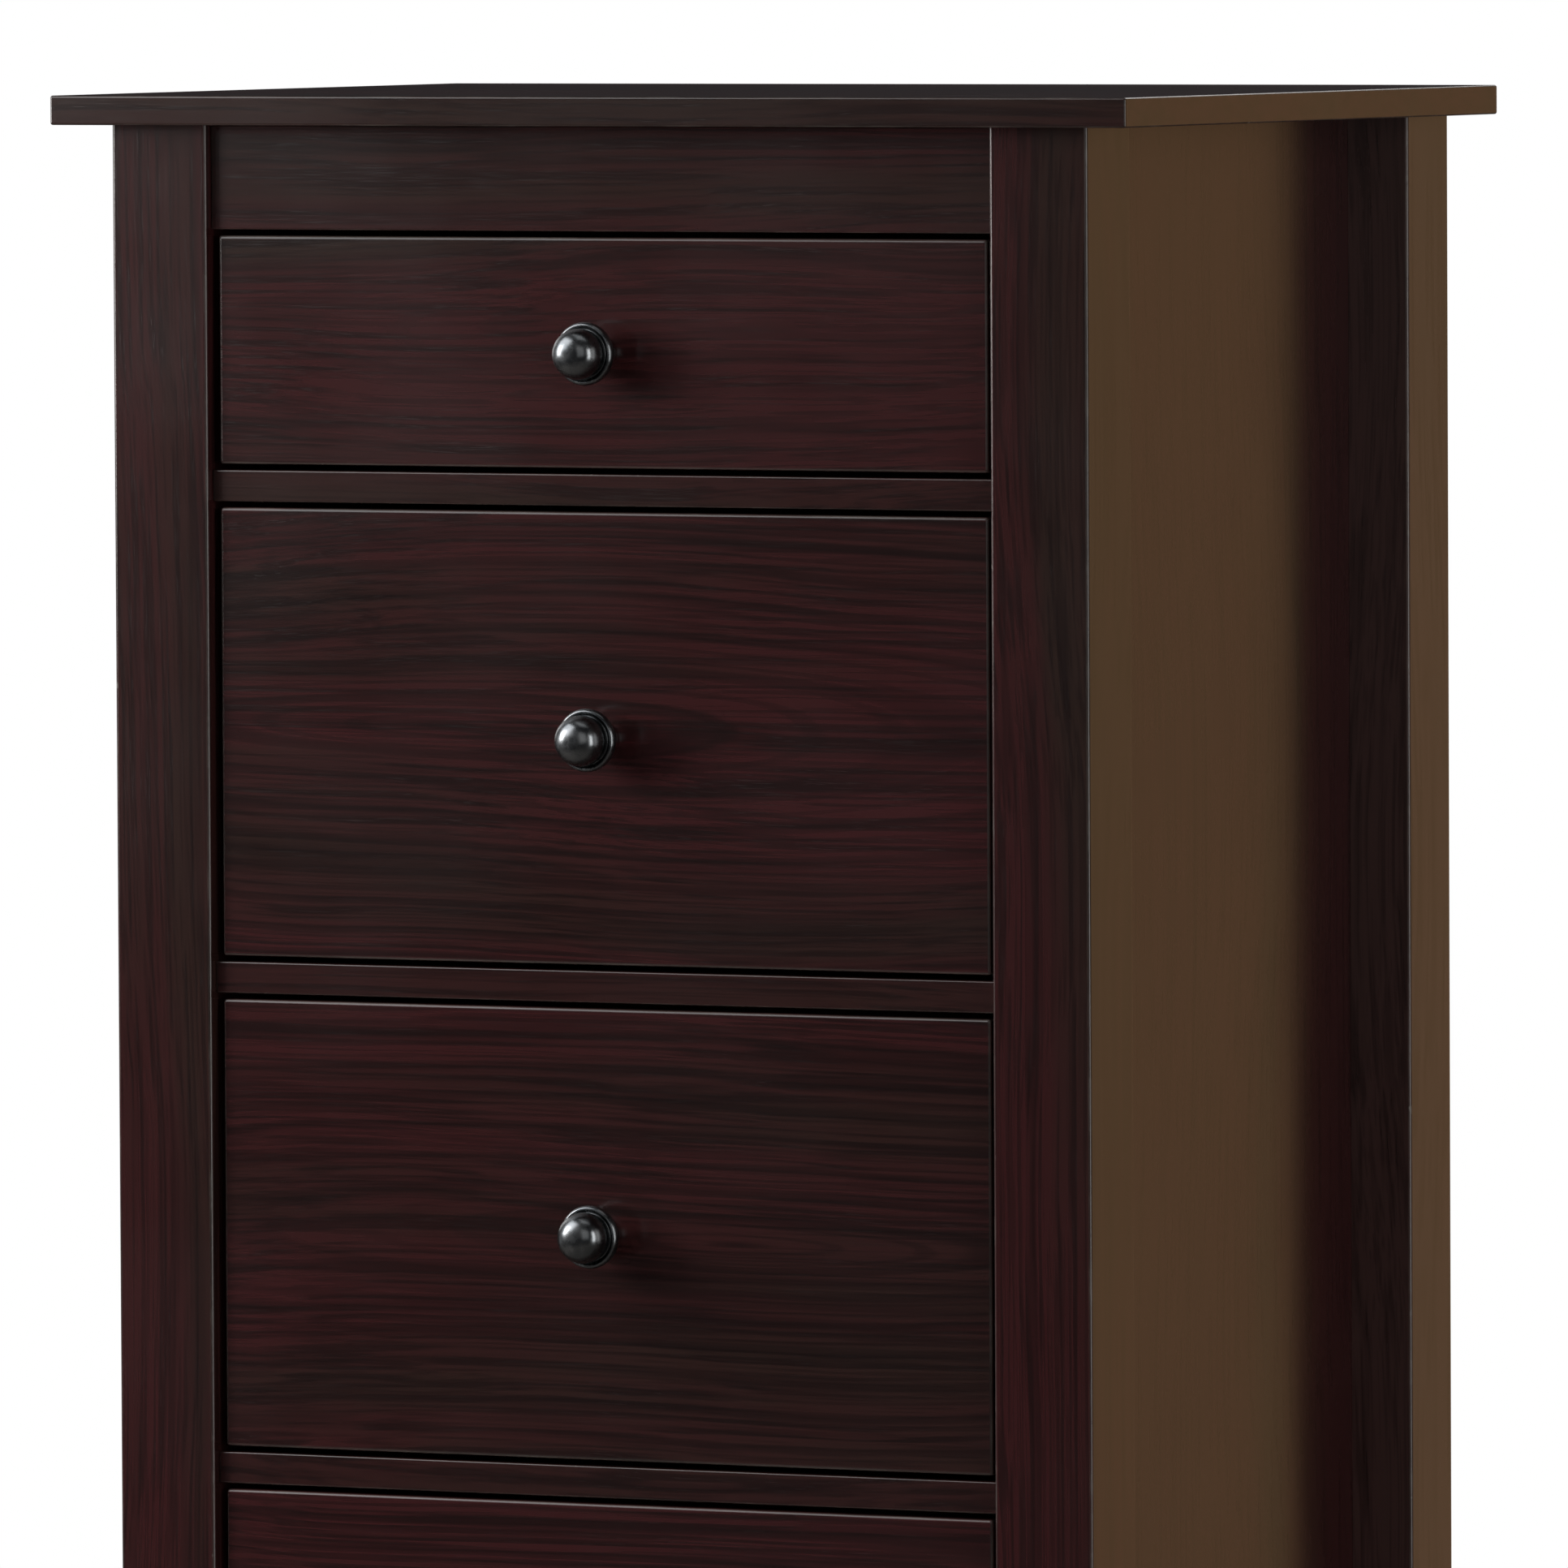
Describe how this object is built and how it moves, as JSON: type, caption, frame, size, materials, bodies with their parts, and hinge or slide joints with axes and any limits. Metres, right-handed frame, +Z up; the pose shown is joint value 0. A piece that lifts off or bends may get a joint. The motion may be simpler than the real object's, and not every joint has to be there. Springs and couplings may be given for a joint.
{
  "type": "jewellery chest of drawers",
  "caption": "Tall narrow chest with an overhanging slab top, square posts, recessed side panels and knobbed drawers on side runners; the shallow top drawer is lined and divided.",
  "frame": {"origin": "on the floor under the middle of the overall box", "axes": "+Z up, the drawers open towards -Y, +X to the right seen from the front"},
  "size_m": [0.606, 0.459, 1.277],
  "materials": {
    "dark_laminate": "semi-gloss espresso wood-grain laminate",
    "drawer_board": "satin pale wood-grain foil on particleboard",
    "hardboard": "smooth brown hardboard",
    "beech": "fluted beech dowel",
    "pewter": "dark pewter plated zinc",
    "steel": "zinc-plated steel",
    "pale_plastic": "moulded",
    "brown_plastic": "extruded",
    "felt": "deep red felt"
  },
  "bodies": {
    "carcass": {"top_panel": "dark_laminate", "front_post_left": "dark_laminate", "front_post_right": "dark_laminate", "rear_post_left": "dark_laminate", "rear_post_right": "dark_laminate", "side_panel_left": "dark_laminate", "side_panel_right": "dark_laminate", "back_panel_upper": "hardboard", "back_panel_lower": "hardboard", "back_joint_strip": "brown_plastic", "top_front_rail": "dark_laminate", "drawer_rail_1": "dark_laminate", "drawer_rail_2": "dark_laminate", "drawer_rail_3": "dark_laminate", "drawer_rail_4": "dark_laminate", "bottom_front_rail": "dark_laminate", "rear_top_rail": "dark_laminate", "bottom_panel": "dark_laminate", "drawer_runners": "pale_plastic", "top_brackets": "steel", "carcass_screws": "steel", "rail_dowels": "beech", "foot_glides": "pale_plastic"},
    "drawer_1": {"drawer_1_front": "dark_laminate", "drawer_1_side_left": "drawer_board", "drawer_1_side_right": "drawer_board", "drawer_1_back": "drawer_board", "drawer_1_bottom": "hardboard", "drawer_1_knob": "pewter", "drawer_1_fasteners": "steel", "drawer_1_felt": "felt", "drawer_1_dividers": "felt"},
    "drawer_2": {"drawer_2_front": "dark_laminate", "drawer_2_side_left": "drawer_board", "drawer_2_side_right": "drawer_board", "drawer_2_back": "drawer_board", "drawer_2_bottom": "hardboard", "drawer_2_knob": "pewter", "drawer_2_fasteners": "steel"},
    "drawer_3": {"drawer_3_front": "dark_laminate", "drawer_3_side_left": "drawer_board", "drawer_3_side_right": "drawer_board", "drawer_3_back": "drawer_board", "drawer_3_bottom": "hardboard", "drawer_3_knob": "pewter", "drawer_3_fasteners": "steel"},
    "drawer_4": {"drawer_4_front": "dark_laminate", "drawer_4_side_left": "drawer_board", "drawer_4_side_right": "drawer_board", "drawer_4_back": "drawer_board", "drawer_4_bottom": "hardboard", "drawer_4_knob": "pewter", "drawer_4_fasteners": "steel"},
    "drawer_5": {"drawer_5_front": "dark_laminate", "drawer_5_side_left": "drawer_board", "drawer_5_side_right": "drawer_board", "drawer_5_back": "drawer_board", "drawer_5_bottom": "hardboard", "drawer_5_knob": "pewter", "drawer_5_fasteners": "steel"}
  },
  "joints": [
    {"name": "drawer_1_slide", "type": "slide", "parent": "carcass", "child": "drawer_1", "axis": [0, -1, 0], "range_m": [0, 0.25]},
    {"name": "drawer_2_slide", "type": "slide", "parent": "carcass", "child": "drawer_2", "axis": [0, -1, 0], "range_m": [0, 0.25]},
    {"name": "drawer_3_slide", "type": "slide", "parent": "carcass", "child": "drawer_3", "axis": [0, -1, 0], "range_m": [0, 0.25]},
    {"name": "drawer_4_slide", "type": "slide", "parent": "carcass", "child": "drawer_4", "axis": [0, -1, 0], "range_m": [0, 0.25]},
    {"name": "drawer_5_slide", "type": "slide", "parent": "carcass", "child": "drawer_5", "axis": [0, -1, 0], "range_m": [0, 0.25]}
  ]
}
